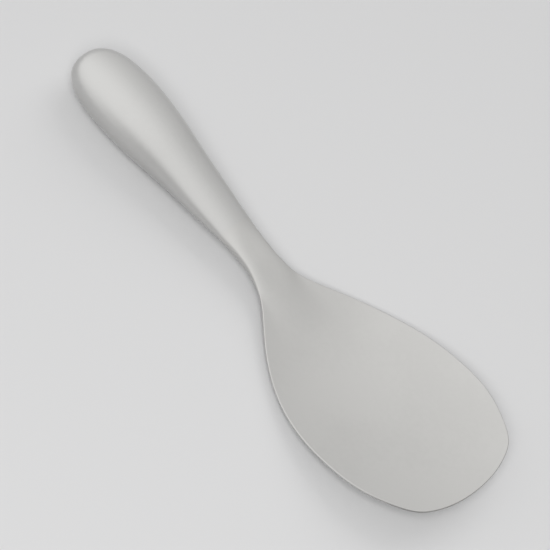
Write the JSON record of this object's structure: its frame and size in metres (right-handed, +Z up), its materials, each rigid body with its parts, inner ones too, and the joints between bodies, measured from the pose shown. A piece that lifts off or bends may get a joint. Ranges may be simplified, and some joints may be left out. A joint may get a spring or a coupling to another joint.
{
  "type": "rice paddle",
  "caption": "All-steel rice paddle with a broad, shallow-dished oval blade, a slim neck and a rounded, tapering hollow handle.",
  "frame": {"origin": "On the table plane, under the middle of the paddle's length and width, with the paddle lying face up on its handle's belly and its blade's sole", "axes": "+X from the butt of the handle to the tip of the blade, +Y across the blade, +Z up out of the dish"},
  "size_m": [0.24, 0.0808, 0.023],
  "materials": {
    "blade_steel": "satin",
    "handle_steel": "satin",
    "weld_steel": "satin"
  },
  "bodies": {
    "root": {"blade": "blade_steel", "handle_front_shell": "handle_steel", "handle_back_shell": "handle_steel", "handle_seam_weld": "weld_steel", "neck_weld": "weld_steel"}
  },
  "joints": []
}
